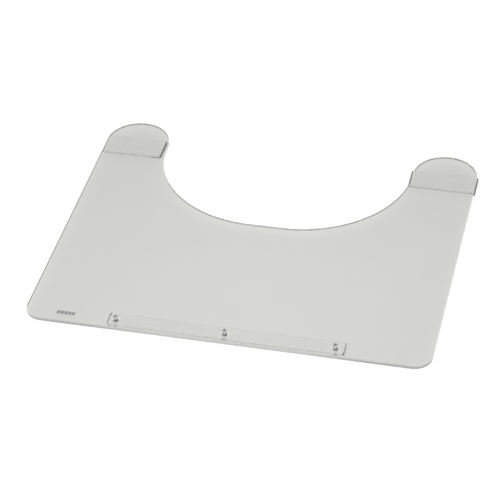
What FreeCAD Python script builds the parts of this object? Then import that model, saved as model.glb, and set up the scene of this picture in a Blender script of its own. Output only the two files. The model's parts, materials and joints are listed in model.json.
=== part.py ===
import FreeCAD, Part
import math
import os

from FreeCAD import Vector

# Clear wheelchair lap tray. Millimetres, +Z up, +X to the right of a person facing +Y.
# The straight front edge lies at -Y and the two horns point to +Y, towards the user.

# Tray sheet
tray_width = 600.0
tray_depth = 508.0
sheet_thickness = 6.0
front_corner_radius = 27.0
edge_round = 1.0
horn_width = 100.0
cutout_depth = 231.0         # horn tips to the floor of the belly cut-out
cutout_corner_radius = 175.0

# Clear strips under the sheet
strip_thickness = 4.0
strip_corner_radius = 4.0
front_strip_length = 350.0
front_strip_width = 25.0
front_strip_setback = 10.0   # front edge of the sheet to the strip
rest_strip_width = 45.0
rest_strip_setback = 38.0    # horn tip to the strip
rest_strip_overhang = 1.5    # past the outer side of each horn
rest_strip_left_reach = -4.0 # past the left horn's inner side, or short of it below zero
rest_strip_right_reach = 4.0

# Screws, washers and nuts through the front strip
screw_count = 3
screw_end_inset = 12.5       # end of the strip to the outer screws
screw_row_shift = -1.9       # the row sits a little left of the strip's middle
screw_diameter = 4.0
screw_standout = 2.0         # thread left below the nut
screw_tip_chamfer = 0.6
head_diameter = 8.0
head_height = 2.4
head_side_height = 1.0
recess_width = 0.9
recess_depth = 1.3
recess_span = 4.4
hole_clearance = 0.25
washer_diameter = 9.0
washer_thickness = 0.8
washer_clearance = 0.15
nut_across_flats = 7.0
nut_thickness = 3.2
nut_clearance = 0.04
nut_corner_cut = 0.35

# Blank label on the top face
label_length = 27.0
label_width = 6.5
label_thickness = 0.3
label_corner_radius = 0.8
label_side_distance = 62.0   # left edge of the sheet to the label's middle
label_front_distance = 17.5

# Levels, counted up from the screw tips
nut_bottom = screw_standout
washer_bottom = nut_bottom + nut_thickness
strip_bottom = washer_bottom + washer_thickness
sheet_bottom = strip_bottom + strip_thickness
sheet_top = sheet_bottom + sheet_thickness

# Plan positions
half_width = tray_width / 2
front_y = -tray_depth / 2
tip_y = tray_depth / 2
horn_radius = horn_width / 2
horn_x = half_width - horn_radius
cutout_half_width = half_width - horn_width
front_strip_y = front_y + front_strip_setback + front_strip_width / 2
rest_strip_y = tip_y - rest_strip_setback - rest_strip_width / 2
screw_pitch = (front_strip_length - 2 * screw_end_inset) / (screw_count - 1)
screw_start = -front_strip_length / 2 + screw_end_inset + screw_row_shift
screw_xs = [screw_start + i * screw_pitch for i in range(screw_count)]
screw_names = ["left", "middle", "right"]

os.makedirs("parts", exist_ok=True)


def save(shape, node):
    if shape.ShapeType == "Compound" and len(shape.Solids) == 1:
        shape = shape.Solids[0]
    shape.exportStep("parts/" + node + ".step")


def line(a, b):
    return Part.LineSegment(Vector(*a), Vector(*b)).toShape()


def arc(a, middle, b):
    return Part.Arc(Vector(*a), Vector(*middle), Vector(*b)).toShape()


def rounded_plate(length, width, thickness, radius, centre_x, centre_y, bottom):
    plate = Part.makeBox(length, width, thickness)
    plate.translate(Vector(centre_x - length / 2, centre_y - width / 2, bottom))
    upright = [e for e in plate.Edges if abs(e.tangentAt(e.FirstParameter).z) > 0.9]
    return plate.makeFillet(radius, upright)


def tray_outline(z):
    # One closed loop, mirrored left and right: front edge, side, round horn end, flank, cut-out corner, floor.
    front_inset = front_corner_radius * (1 - math.sqrt(0.5))
    horn_base = tip_y - horn_radius
    floor_y = tip_y - cutout_depth
    turn_radius = min(cutout_corner_radius, cutout_half_width, horn_base - floor_y)
    flank_y = floor_y + turn_radius
    floor_x = cutout_half_width - turn_radius
    bend = turn_radius * math.sqrt(0.5)
    front_x = half_width - front_corner_radius
    side_y = front_y + front_corner_radius
    edges = [line((-front_x, front_y, z), (front_x, front_y, z))]
    for side in (1, -1):
        outer = side * half_width
        inner = side * cutout_half_width
        edges.append(arc((side * front_x, front_y, z),
                         (outer - side * front_inset, front_y + front_inset, z),
                         (outer, side_y, z)))
        edges.append(line((outer, side_y, z), (outer, horn_base, z)))
        edges.append(arc((outer, horn_base, z), (side * horn_x, tip_y, z), (inner, horn_base, z)))
        if horn_base > flank_y:
            edges.append(line((inner, horn_base, z), (inner, flank_y, z)))
        edges.append(arc((inner, flank_y, z),
                         (side * (floor_x + bend), flank_y - bend, z),
                         (side * floor_x, floor_y, z)))
    if floor_x > 0:
        edges.append(line((-floor_x, floor_y, z), (floor_x, floor_y, z)))
    return Part.Wire(Part.__sortEdges__(edges))


def screw_hole(x, bottom, height, radius):
    return Part.makeCylinder(radius, height, Vector(x, front_strip_y, bottom))


def tray_panel():
    sheet = Part.Face(tray_outline(sheet_bottom)).extrude(Vector(0, 0, sheet_thickness))
    flat = [e for e in sheet.Edges if abs(e.BoundBox.ZMax - e.BoundBox.ZMin) < 0.001]
    sheet = sheet.makeFillet(edge_round, flat)
    for x in screw_xs:
        sheet = sheet.cut(screw_hole(x, sheet_bottom, sheet_thickness, screw_diameter / 2 + hole_clearance))
    return sheet


def front_strip():
    strip = rounded_plate(front_strip_length, front_strip_width, strip_thickness, strip_corner_radius,
                          0, front_strip_y, strip_bottom)
    for x in screw_xs:
        strip = strip.cut(screw_hole(x, strip_bottom, strip_thickness, screw_diameter / 2 + hole_clearance))
    return strip


def rest_strip(side, inner_reach):
    outer = half_width + rest_strip_overhang
    inner = cutout_half_width - inner_reach
    return rounded_plate(outer - inner, rest_strip_width, strip_thickness, strip_corner_radius,
                         side * (outer + inner) / 2, rest_strip_y, strip_bottom)


def screw(x):
    # Half section of a pan head on a chamfered shank, turned about the screw's own axis.
    shank = screw_diameter / 2
    head = head_diameter / 2
    shoulder = sheet_top + head_side_height
    crown = sheet_top + head_height
    dome_radius = (head ** 2 + (crown - shoulder) ** 2) / (2 * (crown - shoulder))
    dome_turn = math.asin(head / dome_radius) / 2
    dome_x = dome_radius * math.sin(dome_turn)
    dome_z = crown - dome_radius * (1 - math.cos(dome_turn))
    section = [
        line((0, 0, 0), (shank - screw_tip_chamfer, 0, 0)),
        line((shank - screw_tip_chamfer, 0, 0), (shank, 0, screw_tip_chamfer)),
        line((shank, 0, screw_tip_chamfer), (shank, 0, sheet_top)),
        line((shank, 0, sheet_top), (head, 0, sheet_top)),
        line((head, 0, sheet_top), (head, 0, shoulder)),
        arc((head, 0, shoulder), (dome_x, 0, dome_z), (0, 0, crown)),
        line((0, 0, crown), (0, 0, 0)),
    ]
    body = Part.Face(Part.Wire(section)).revolve(Vector(0, 0, 0), Vector(0, 0, 1), 360)
    for length, width in ((recess_span, recess_width), (recess_width, recess_span)):
        slot = Part.makeBox(length, width, recess_depth)
        slot.translate(Vector(-length / 2, -width / 2, crown - recess_depth))
        body = body.cut(slot)
    body.translate(Vector(x, front_strip_y, 0))
    return body


def washer(x):
    disc = Part.makeCylinder(washer_diameter / 2, washer_thickness, Vector(x, front_strip_y, washer_bottom))
    return disc.cut(screw_hole(x, washer_bottom, washer_thickness, screw_diameter / 2 + washer_clearance))


def nut(x):
    corner = nut_across_flats / math.sqrt(3)
    points = [Vector(corner * math.cos(math.radians(60 * i)), corner * math.sin(math.radians(60 * i)), 0)
              for i in range(7)]
    block = Part.Face(Part.makePolygon(points)).extrude(Vector(0, 0, nut_thickness))
    # Cones trim the six corners at both ends.
    slope = math.sqrt(3)
    for bottom, top in ((corner - nut_corner_cut, None), (None, corner - nut_corner_cut)):
        wide = corner - nut_corner_cut + nut_thickness * slope
        narrow = corner - nut_corner_cut
        if bottom:
            cone = Part.makeCone(narrow, wide, nut_thickness)
        else:
            cone = Part.makeCone(wide, narrow, nut_thickness)
        block = block.common(cone)
    block = block.cut(Part.makeCylinder(screw_diameter / 2 + nut_clearance, nut_thickness))
    block.translate(Vector(x, front_strip_y, nut_bottom))
    return block


def maker_label():
    return rounded_plate(label_length, label_width, label_thickness, label_corner_radius,
                         -half_width + label_side_distance, front_y + label_front_distance, sheet_top)


save(tray_panel(), "tray_panel")
save(front_strip(), "front_strip")
save(rest_strip(-1, rest_strip_left_reach), "rest_strip_left")
save(rest_strip(1, rest_strip_right_reach), "rest_strip_right")
save(maker_label(), "maker_label")
for name, x in zip(screw_names, screw_xs):
    save(screw(x), "screw_" + name)
    save(washer(x), "washer_" + name)
    save(nut(x), "nut_" + name)
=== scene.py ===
import json
import math

import bmesh
import bpy
from mathutils import Matrix, Vector

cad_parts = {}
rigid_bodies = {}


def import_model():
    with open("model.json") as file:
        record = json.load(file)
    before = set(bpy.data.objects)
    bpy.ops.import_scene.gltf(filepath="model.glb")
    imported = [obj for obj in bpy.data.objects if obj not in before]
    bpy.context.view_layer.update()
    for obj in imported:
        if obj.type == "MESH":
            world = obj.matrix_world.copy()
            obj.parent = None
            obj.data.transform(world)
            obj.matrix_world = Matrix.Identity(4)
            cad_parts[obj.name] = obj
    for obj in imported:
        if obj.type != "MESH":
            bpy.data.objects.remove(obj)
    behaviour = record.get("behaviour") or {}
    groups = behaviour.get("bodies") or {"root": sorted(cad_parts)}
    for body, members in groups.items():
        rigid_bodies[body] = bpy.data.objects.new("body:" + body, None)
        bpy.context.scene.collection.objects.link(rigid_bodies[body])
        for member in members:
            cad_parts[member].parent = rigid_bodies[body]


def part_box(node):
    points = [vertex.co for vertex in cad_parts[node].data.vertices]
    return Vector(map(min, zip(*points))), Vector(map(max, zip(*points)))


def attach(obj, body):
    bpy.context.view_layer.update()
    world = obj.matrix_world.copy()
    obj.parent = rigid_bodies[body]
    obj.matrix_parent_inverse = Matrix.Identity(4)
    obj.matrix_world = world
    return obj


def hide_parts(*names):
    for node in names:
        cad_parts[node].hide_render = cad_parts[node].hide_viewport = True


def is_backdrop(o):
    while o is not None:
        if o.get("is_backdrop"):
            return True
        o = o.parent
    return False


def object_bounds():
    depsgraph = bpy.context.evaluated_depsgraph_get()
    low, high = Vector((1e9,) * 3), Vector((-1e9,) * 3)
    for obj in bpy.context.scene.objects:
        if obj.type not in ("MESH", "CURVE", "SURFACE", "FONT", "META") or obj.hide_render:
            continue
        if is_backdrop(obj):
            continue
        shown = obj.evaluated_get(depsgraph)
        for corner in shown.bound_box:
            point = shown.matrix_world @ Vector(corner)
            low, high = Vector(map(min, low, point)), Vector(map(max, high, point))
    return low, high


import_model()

cadLow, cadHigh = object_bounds()
sheetLow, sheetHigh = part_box("tray_panel")
sides = ["left", "middle", "right"]
mm = 0.001
plasticBend = 1.49          # refractive index of the clear plastic
smoothAngle = math.radians(35)
sharpAngle = math.radians(50)


# Shader maths written as plain expressions
class Field:
    def __init__(self, graph, socket):
        self.graph = graph
        self.socket = socket

    def join(self, operation, first, second=0.0, clamp=False):
        settings = {"operation": operation, "use_clamp": clamp}
        return self.graph.node("ShaderNodeMath", settings, {0: first, 1: second})

    def __add__(self, other):
        return self.join("ADD", self, other)

    def __radd__(self, other):
        return self.join("ADD", other, self)

    def __sub__(self, other):
        return self.join("SUBTRACT", self, other)

    def __rsub__(self, other):
        return self.join("SUBTRACT", other, self)

    def __mul__(self, other):
        return self.join("MULTIPLY", self, other)

    def __rmul__(self, other):
        return self.join("MULTIPLY", other, self)

    def __truediv__(self, other):
        return self.join("DIVIDE", self, other)

    def __pow__(self, other):
        return self.join("POWER", self, other)

    def __gt__(self, other):
        return self.join("GREATER_THAN", self, other)

    def __lt__(self, other):
        return self.join("LESS_THAN", self, other)

    def __abs__(self):
        return self.join("ABSOLUTE", self)

    def wave(self):
        return self.join("SINE", self)

    def clamped(self):
        return self.join("ADD", self, 0.0, True)


class Graph:
    def __init__(self, name):
        self.material = bpy.data.materials.new(name)
        self.material.use_nodes = True
        self.tree = self.material.node_tree
        self.tree.nodes.clear()
        self.output = self.tree.nodes.new("ShaderNodeOutputMaterial")

    def node(self, kind, settings=None, values=None, output=0):
        made = self.tree.nodes.new(kind)
        for key, value in (settings or {}).items():
            setattr(made, key, value)
        for key, value in (values or {}).items():
            if isinstance(value, Field):
                self.tree.links.new(value.socket, made.inputs[key])
            else:
                made.inputs[key].default_value = value
        return Field(self, made.outputs[output])

    def place(self, stretch=(1.0, 1.0, 1.0)):
        coordinates = self.node("ShaderNodeTexCoord", output="Object")
        return self.node("ShaderNodeMapping", {}, {"Vector": coordinates, "Scale": stretch})

    def axes(self):
        coordinates = self.node("ShaderNodeTexCoord", output="Object")
        return [self.node("ShaderNodeSeparateXYZ", {}, {0: coordinates}, axis) for axis in range(3)]

    def facing(self, axis):
        normal = self.node("ShaderNodeTexCoord", output="Normal")
        return abs(self.node("ShaderNodeSeparateXYZ", {}, {0: normal}, axis))

    def upness(self):
        return self.facing(2)

    def noise(self, scale, detail=3.0, stretch=(1.0, 1.0, 1.0), roughness=0.5):
        values = {"Vector": self.place(stretch), "Scale": scale, "Detail": detail, "Roughness": roughness}
        return self.node("ShaderNodeTexNoise", {}, values)

    def mix(self, factor, first, second):
        return self.node("ShaderNodeMix", {"data_type": "RGBA"}, {0: factor, 6: first, 7: second}, 2)

    def bump(self, height, strength, distance):
        values = {"Height": height, "Strength": strength, "Distance": distance}
        return self.node("ShaderNodeBump", {}, values)

    def surface(self, values):
        return self.node("ShaderNodeBsdfPrincipled", {}, values)

    def blendSurfaces(self, share, first, second):
        return self.node("ShaderNodeMixShader", {}, {0: share, 1: first, 2: second})

    def finish(self, shader):
        self.tree.links.new(shader.socket, self.output.inputs["Surface"])
        return self.material


# Modelling helpers
def deselectAll():
    for thing in bpy.context.view_layer.objects:
        thing.select_set(False)


def startPiece(name, low, high):
    deselectAll()
    low, high = Vector(low), Vector(high)
    bpy.ops.mesh.primitive_cube_add(size=1.0, location=(low + high) / 2, scale=high - low)
    piece = bpy.context.object
    piece.name = name
    piece.data.name = name
    bpy.ops.object.transform_apply(location=True, rotation=True, scale=True)
    return piece


def selectEdges(piece, test):
    mesh = bmesh.from_edit_mesh(piece.data)
    bpy.ops.mesh.select_mode(type="EDGE")
    for edge in mesh.edges:
        edge.select_set(test(*(vertex.co for vertex in edge.verts)))
    mesh.select_flush_mode()
    bmesh.update_edit_mesh(piece.data)


def bevelEdges(piece, test, radius, segments):
    bpy.context.view_layer.objects.active = piece
    bpy.ops.object.mode_set(mode="EDIT")
    selectEdges(piece, test)
    bpy.ops.mesh.bevel(offset=radius, segments=segments, affect="EDGES")
    bpy.ops.object.mode_set(mode="OBJECT")


def isUpright(first, second):
    return abs(first.z - second.z) > 0.5 * mm and (first - second).xy.length < 0.01 * mm


def applyModifier(piece, kind, **settings):
    deselectAll()
    piece.select_set(True)
    bpy.context.view_layer.objects.active = piece
    modifier = piece.modifiers.new(kind.lower(), kind)
    for key, value in settings.items():
        setattr(modifier, key, value)
    bpy.ops.object.modifier_apply(modifier=modifier.name)


def finishPiece(piece, material, slot, *nodes):
    deselectAll()
    piece.select_set(True)
    bpy.context.view_layer.objects.active = piece
    bpy.ops.object.shade_smooth_by_angle(angle=smoothAngle)
    piece.data.materials.clear()
    piece.data.materials.append(material)
    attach(piece, "root")
    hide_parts(*nodes)
    print("made", piece.name)


def dressNode(node, material):
    piece = bpy.data.objects[node]
    for slot in piece.material_slots:
        slot.material = material


# Clear sheet
sheet = {
    # the tint is partly the sheet's own grey-green and partly painted shade, standing in for the shadow
    # the sheet would cast on the lit table
    "tint": (0.618, 0.622, 0.597, 1.0),
    "shadedTintClear": (0.640, 0.643, 0.617, 1.0),
    "edgeColour": (0.82, 0.83, 0.80, 1.0),
    "edgePale": (0.92, 0.93, 0.90, 1.0),
    # the colour the frosted edges darken to towards their bottom
    "edgeDarkeningColour": (0.58, 0.58, 0.56, 1.0),
    "edgeDarkeningTop": 4.6 * mm,
    "edgeDarkeningFade": 1.0 * mm,
    "middleReach": 120.0 * mm,
    # painted light: round the screw holes the tint is white, lightening the shaded washers and nuts seen
    # through the sheet
    "paintedLightTint": (1.0, 1.0, 1.0, 1.0),
    "paintedLightWallReach": 2.6 * mm,
    "paintedLightReach": 7.0 * mm,
    "paintedLightFade": 2.0 * mm,
    "drilledReach": 5.0 * mm,
    "roughness": 0.012,
    "hazeRoughness": 0.03,
    "scratchRoughness": 0.08,
    "edgeRoughness": 0.36,
    "edgeGrain": 0.2,
    "edgeFrost": 0.62,
    "edgeStart": 0.985,         # how level a face is where the frosted edge begins
    "hazeScale": 7.0,
    "scratchScale": 60.0,
    "rippleScale": 5.0,
    "sawScale": 900.0,
    "edgeDarkeningScale": 40.0,
    "middleShare": 0.25,         # how much of the edge darkening is left in the middle
}


def makeClearSheet(holes):
    graph = Graph("clearSheet")
    upness = graph.upness()
    haze = graph.noise(sheet["hazeScale"], 4.0)
    scratches = graph.noise(sheet["scratchScale"], 2.0, (1.0, 14.0, 1.0), 0.4)
    cloudy = (haze - 0.5) * sheet["hazeRoughness"]
    wear = (cloudy + (scratches - 0.62) * sheet["scratchRoughness"]).clamped()
    ripple = graph.noise(sheet["rippleScale"], 1.0)
    x, y, z = graph.axes()
    below = z < float(sheetLow[2]) + 0.1 * mm
    paintedLight = 0.0
    edge = ((sheet["edgeStart"] - upness) * 8.0).clamped() * sheet["edgeFrost"]
    for hole in holes:
        # the drilled holes are polished; as painted light, the tint is left out of their walls and of the
        # underside round them, lightening the shaded washers and nuts seen through the sheet
        away = ((x - hole.x) ** 2.0 + (y - hole.y) ** 2.0) ** 0.5
        paintedLight = paintedLight + (away < sheet["paintedLightWallReach"])
        paintedLight = paintedLight + ((sheet["paintedLightReach"] - away) / sheet["paintedLightFade"]).clamped() * below
        edge = edge * (away > sheet["drilledReach"])
    # the sheet's tint, darker than its own colour as painted shade for its shadow on the table
    tintedAndShaded = graph.mix(haze, sheet["tint"], sheet["shadedTintClear"])
    clear = graph.surface({
        "Base Color": graph.mix(paintedLight.clamped(), tintedAndShaded, sheet["paintedLightTint"]),
        "Roughness": sheet["roughness"] + wear,
        "IOR": plasticBend,
        "Transmission Weight": 1.0,
        "Normal": graph.bump(ripple, 0.06, 0.002),
    })
    sawMarks = graph.noise(sheet["sawScale"], 2.0, (1.0, 1.0, 0.15))
    # the frosted edges are darker towards the bottom, and more so towards the ends than in the middle
    edgeDarkeningLine = ((float(sheetLow[2]) + sheet["edgeDarkeningTop"] - z) / sheet["edgeDarkeningFade"]).clamped()
    outer = ((abs(x) - sheet["middleReach"]) * 12.0).clamped()
    endward = outer * (1.0 - sheet["middleShare"]) + sheet["middleShare"]
    edgeDarkening = edgeDarkeningLine * endward * (0.8 + graph.noise(sheet["edgeDarkeningScale"], 3.0) * 0.4)
    sawn = graph.mix(sawMarks, sheet["edgeColour"], sheet["edgePale"])
    frosted = graph.surface({
        "Base Color": graph.mix(edgeDarkening.clamped(), sawn, sheet["edgeDarkeningColour"]),
        "Roughness": sheet["edgeRoughness"] + (sawMarks - 0.5) * sheet["edgeGrain"],
        "IOR": plasticBend,
        "Normal": graph.bump(sawMarks, 0.3, 0.0003),
    })
    return graph.finish(graph.blendSurfaces(edge, clear, frosted))


# Clear strips under the sheet
strips = {
    "tint": (1.0, 1.0, 1.0, 1.0),
    "streakTint": (0.94, 0.945, 0.935, 1.0),
    # painted shade: the strips' sawn ends are near black, standing in for the sheet's shadow on them
    "endShadeColour": (0.05, 0.05, 0.05, 1.0),
    "endShadePale": (0.11, 0.11, 0.11, 1.0),
    # painted shadow: a dark band near each strip end, for the sheet's shadow on the protruding ends
    "endShadowTint": (0.10, 0.10, 0.10, 1.0),
    "endShadowReach": 2.6 * mm,
    "endShadowMarks": [           # how dark the painted shadow is at each strip's left and right end
        ("front_strip", 0.2, 0.35),
        ("rest_strip_left", 0.4, 1.0),
        ("rest_strip_right", 1.0, 1.0),
    ],
    "roughness": 0.03,
    "endFrost": 0.95,
    "bend": 1.15,           # held tight to the sheet, so it hardly shows
    "streakScale": 30.0,
    "streakGloss": 0.06,
    "sawScale": 700.0,
    "cornerSteps": 10,
    "seatGap": 0.12 * mm,
    "washerGap": 0.1 * mm,
    "drillDepth": 20.0 * mm,
    "drillSides": 40,
    "edgeRound": 0.35 * mm,
    "cornerRadius": 4.0 * mm,
    "holeRadius": 2.25 * mm,
}


def makeClearStrip(endShadowMarks):
    graph = Graph("clearStrip")
    endness = graph.facing(0)
    x = graph.axes()[0]
    # painted shadow darkening each strip near its ends
    endShadow = 0.0
    for place, strength in endShadowMarks:
        within = strips["endShadowReach"] - abs(x - place)
        endShadow = endShadow + (within * (2.0 / strips["endShadowReach"])).clamped() * strength
    streaks = graph.noise(strips["streakScale"], 3.0, (0.25, 12.0, 1.0))
    streaked = graph.mix(((streaks - 0.42) * 4.0).clamped(), strips["tint"], strips["streakTint"])
    clear = graph.surface({
        "Base Color": graph.mix(endShadow, streaked, strips["endShadowTint"]),
        "Roughness": strips["roughness"] + (streaks * strips["streakGloss"]).clamped(),
        "IOR": strips["bend"],
        "Transmission Weight": 1.0,
        "Normal": graph.bump(streaks * graph.upness(), 0.15, 0.0015),
    })
    sawMarks = graph.noise(strips["sawScale"], 2.0, (1.0, 1.0, 0.2))
    # sawn end faces, coloured near black as painted shade
    frosted = graph.surface({
        "Base Color": graph.mix(sawMarks, strips["endShadeColour"], strips["endShadePale"]),
        "Roughness": 0.45 + sawMarks * 0.2,
        "IOR": plasticBend,
        "Specular IOR Level": 0.15,
        "Normal": graph.bump(sawMarks, 0.4, 0.0003),
    })
    share = ((endness - 0.35) * 2.5).clamped() * strips["endFrost"]
    return graph.finish(graph.blendSurfaces(share, clear, frosted))


def makeStrip(name, node, material, holes):
    low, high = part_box(node)
    low = Vector((low[0], low[1], low[2] + strips["washerGap"]))
    high = Vector((high[0], high[1], high[2] - strips["seatGap"]))
    piece = startPiece(name, low, high)
    bevelEdges(piece, isUpright, strips["cornerRadius"], strips["cornerSteps"])
    for hole in holes:
        deselectAll()
        bpy.ops.mesh.primitive_cylinder_add(vertices=strips["drillSides"], radius=strips["holeRadius"],
                                            depth=strips["drillDepth"], location=hole)
        drill = bpy.context.object
        bpy.ops.object.transform_apply(location=True, rotation=True, scale=True)
        applyModifier(piece, "BOOLEAN", operation="DIFFERENCE", solver="EXACT", object=drill)
        bpy.data.objects.remove(drill)
    applyModifier(piece, "BEVEL", width=strips["edgeRound"], segments=3, limit_method="ANGLE",
                  angle_limit=sharpAngle)
    finishPiece(piece, material, "clear_strip", node)


# Blank printed mark
mark = {
    "blocks": 5,
    "gap": 1.1 * mm,
    "cornerRadius": 0.5 * mm,
    "edgeRound": 0.08 * mm,
    "ink": (0.19, 0.19, 0.195, 1.0),
    "wornInk": (0.34, 0.34, 0.34, 1.0),
    "grainScale": 2500.0,
    "wornScale": 700.0,
}


def makeMarkInk():
    graph = Graph("markInk")
    grain = graph.noise(mark["grainScale"], 2.0)
    worn = graph.noise(mark["wornScale"], 3.0)
    return graph.finish(graph.surface({
        "Base Color": graph.mix(worn, mark["ink"], mark["wornInk"]),
        "Roughness": 0.45 + grain * 0.3,
        "Normal": graph.bump(grain, 0.2, 0.0001),
    }))


def makeMark(material):
    low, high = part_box("maker_label")
    pitch = (high[0] - low[0] + mark["gap"]) / mark["blocks"]
    blocks = []
    for i in range(mark["blocks"]):
        left = low[0] + i * pitch
        block = startPiece("mark", (left, low[1], low[2]), (left + pitch - mark["gap"], high[1], high[2]))
        bevelEdges(block, isUpright, mark["cornerRadius"], 4)
        applyModifier(block, "BEVEL", width=mark["edgeRound"], segments=2, limit_method="ANGLE",
                      angle_limit=sharpAngle)
        blocks.append(block)
    deselectAll()
    for block in blocks:
        block.select_set(True)
    bpy.context.view_layer.objects.active = blocks[0]
    bpy.ops.object.join()
    piece = bpy.context.object
    piece.name = "printedMark"
    finishPiece(piece, material, "label_ink", "maker_label")


# Fasteners
fasteners = {
    "steel": (0.86, 0.87, 0.88, 1.0),
    "steelDull": (0.74, 0.74, 0.74, 1.0),
    "headDull": (0.48, 0.48, 0.49, 1.0),
    "headBright": (0.64, 0.64, 0.65, 1.0),
    # painted shade: the screw head's recess is coloured near black
    "recessShade": (0.05, 0.05, 0.05, 1.0),
    "recessReach": 2.4 * mm,
    "recessTop": 0.7 * mm,
    "zinc": (0.97, 0.975, 0.98, 1.0),
    "zincStain": (0.91, 0.91, 0.90, 1.0),
    "threadPitch": 0.7 * mm,
    "headBase": 0.9 * mm,       # the recess starts this far above the sheet
    "shankTop": 0.2 * mm,
    "grainScale": 1500.0,
    "wornScale": 350.0,
    "zincGrainScale": 1200.0,
    "stainScale": 240.0,
}


def makeScrewFinish(centres):
    graph = Graph("steelScrew")
    x, y, z = graph.axes()
    onShank = z < float(sheetHigh[2]) - fasteners["shankTop"]
    thread = (z * (2 * math.pi / fasteners["threadPitch"])).wave() * onShank
    grain = graph.noise(fasteners["grainScale"], 3.0)
    worn = ((graph.noise(fasteners["wornScale"], 4.0) - 0.45) * 2.2).clamped()
    aboveBase = z > float(sheetHigh[2]) + fasteners["headBase"]
    recess = aboveBase * (z < float(cadHigh[2]) - fasteners["recessTop"])
    near = 0.0
    for centre in centres:
        away = ((x - centre.x) ** 2.0 + (y - centre.y) ** 2.0) ** 0.5
        near = near + (away < fasteners["recessReach"])
    head = graph.mix(worn, fasteners["headDull"], fasteners["headBright"])
    # the recess gets the painted shade colour
    head = graph.mix(recess * near, head, fasteners["recessShade"])
    shank = graph.mix(worn, fasteners["steel"], fasteners["steelDull"])
    return graph.finish(graph.surface({
        "Base Color": graph.mix(onShank, head, shank),
        "Metallic": 0.85,
        "Roughness": 0.32 + grain * 0.2,
        "Normal": graph.bump(thread * 0.5 + grain * 0.05, 0.8, 0.0003),
    }))


def makeZincFinish():
    graph = Graph("zincPlate")
    grain = graph.noise(fasteners["zincGrainScale"], 3.0)
    stain = graph.noise(fasteners["stainScale"], 4.0)
    return graph.finish(graph.surface({
        "Base Color": graph.mix(stain, fasteners["zinc"], fasteners["zincStain"]),
        "Metallic": 0.6,
        "Roughness": 0.25 + stain * 0.2,
        "Normal": graph.bump(grain, 0.15, 0.0002),
    }))


# Studio: a lit white table under an even sky
studio = {
    "floorSize": 20.0,
    "floorGap": 0.2 * mm,
    "floorColour": (0.25, 0.25, 0.25, 1.0),
    "paintedPoolGlow": (0.95, 0.95, 0.95, 1.0),
    "glowDim": (0.765, 0.765, 0.765, 1.0),
    # painted pool of light: the table glows brighter round this point, in place of a lamp over the front
    # of the tray
    "paintedPoolCentre": (0.02, -0.22, 0.0),
    "paintedPoolReach": 0.75,
    "skyStrength": 1.0,
    "grainScale": 300.0,
}


def makeLitTable():
    graph = Graph("litTable")
    place = graph.place()
    away = graph.node("ShaderNodeVectorMath", {"operation": "DISTANCE"},
                      {0: place, 1: studio["paintedPoolCentre"]}, "Value")
    grain = graph.noise(studio["grainScale"], 2.0)
    # the table's even glow is a light table; this falloff paints a pool of light round the front of the
    # tray
    paintedPoolFade = graph.node("ShaderNodeMapRange", {"interpolation_type": "SMOOTHSTEP"},
                      {"Value": away, "From Min": 0.0, "From Max": studio["paintedPoolReach"]})
    return graph.finish(graph.surface({
        "Base Color": studio["floorColour"],
        "Roughness": 0.85 + grain * 0.1,
        "Specular IOR Level": 0.0,
        "Emission Color": graph.mix(paintedPoolFade, studio["paintedPoolGlow"], studio["glowDim"]),
        "Emission Strength": 1.0,
    }))


def makeFloor():
    deselectAll()
    level = cadLow[2] - studio["floorGap"]
    bpy.ops.mesh.primitive_plane_add(size=studio["floorSize"], location=(0, 0, level))
    floor = bpy.context.object
    floor.name = "floor"
    bpy.ops.object.transform_apply(location=True, rotation=True, scale=True)
    floor.data.materials.append(makeLitTable())
    floor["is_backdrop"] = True


def makeSky():
    world = bpy.data.worlds.new("studioSky")
    bpy.context.scene.world = world
    world.use_nodes = True
    background = world.node_tree.nodes["Background"]
    background.inputs["Color"].default_value = (1.0, 1.0, 1.0, 1.0)
    background.inputs["Strength"].default_value = studio["skyStrength"]
    bpy.context.scene.view_settings.view_transform = "Standard"


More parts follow.
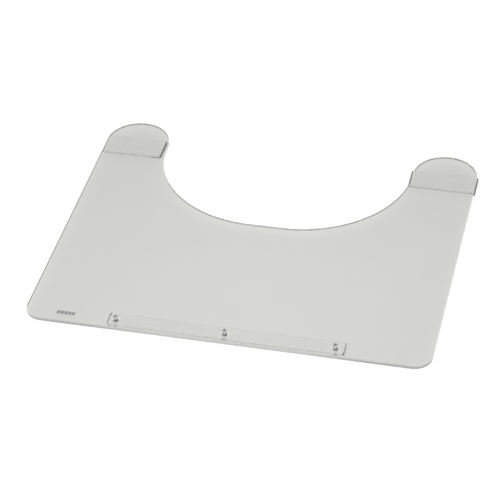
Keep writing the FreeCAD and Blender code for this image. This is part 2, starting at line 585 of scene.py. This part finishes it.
# Camera, placed by angles round a point on the sheet's top
camera = {
    "azimuth": 14.108,
    "elevation": 38.018,
    "roll": -1.840,
    "lens": 153.42,
    "distance": 3.2075,
    "sensor": 36.0,
    "aimRight": -8.22 * mm,
    "aimFromFront": 213.75 * mm,
}


def makeCamera():
    azimuth, elevation, roll = (math.radians(camera[key]) for key in ("azimuth", "elevation", "roll"))
    back = Vector((math.sin(azimuth) * math.cos(elevation),
                   -math.cos(azimuth) * math.cos(elevation),
                   math.sin(elevation)))
    right = Vector((math.cos(azimuth), math.sin(azimuth), 0.0))
    up = back.cross(right)
    turnedRight = right * math.cos(roll) + up * math.sin(roll)
    turnedUp = up * math.cos(roll) - right * math.sin(roll)
    aim = Vector((camera["aimRight"], sheetLow[1] + camera["aimFromFront"], sheetHigh[2]))
    data = bpy.data.cameras.new("camera")
    data.lens = camera["lens"]
    data.sensor_width = camera["sensor"]
    viewer = bpy.data.objects.new("camera", data)
    bpy.context.scene.collection.objects.link(viewer)
    turn = Matrix((turnedRight, turnedUp, back)).transposed().to_4x4()
    viewer.matrix_world = Matrix.Translation(aim + back * camera["distance"]) @ turn
    bpy.context.scene.camera = viewer


# Build everything
makeCamera()
makeFloor()
makeSky()
print("studio ready")

holeCentres = []
for side in sides:
    low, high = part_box("screw_" + side)
    holeCentres.append((Vector(low) + Vector(high)) / 2)
dressNode("tray_panel", makeClearSheet(holeCentres))
endShadowMarks = []
for node, leftStrength, rightStrength in strips["endShadowMarks"]:
    low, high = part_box(node)
    endShadowMarks += [(float(low[0]), leftStrength), (float(high[0]), rightStrength)]
stripMaterial = makeClearStrip(endShadowMarks)
makeStrip("frontStrip", "front_strip", stripMaterial, holeCentres)
makeStrip("restStripLeft", "rest_strip_left", stripMaterial, [])
makeStrip("restStripRight", "rest_strip_right", stripMaterial, [])
makeMark(makeMarkInk())
screwFinish = makeScrewFinish(holeCentres)
zincFinish = makeZincFinish()
for side in sides:
    dressNode("screw_" + side, screwFinish)
    dressNode("washer_" + side, zincFinish)
    dressNode("nut_" + side, zincFinish)
print("pieces ready")

low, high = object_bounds()
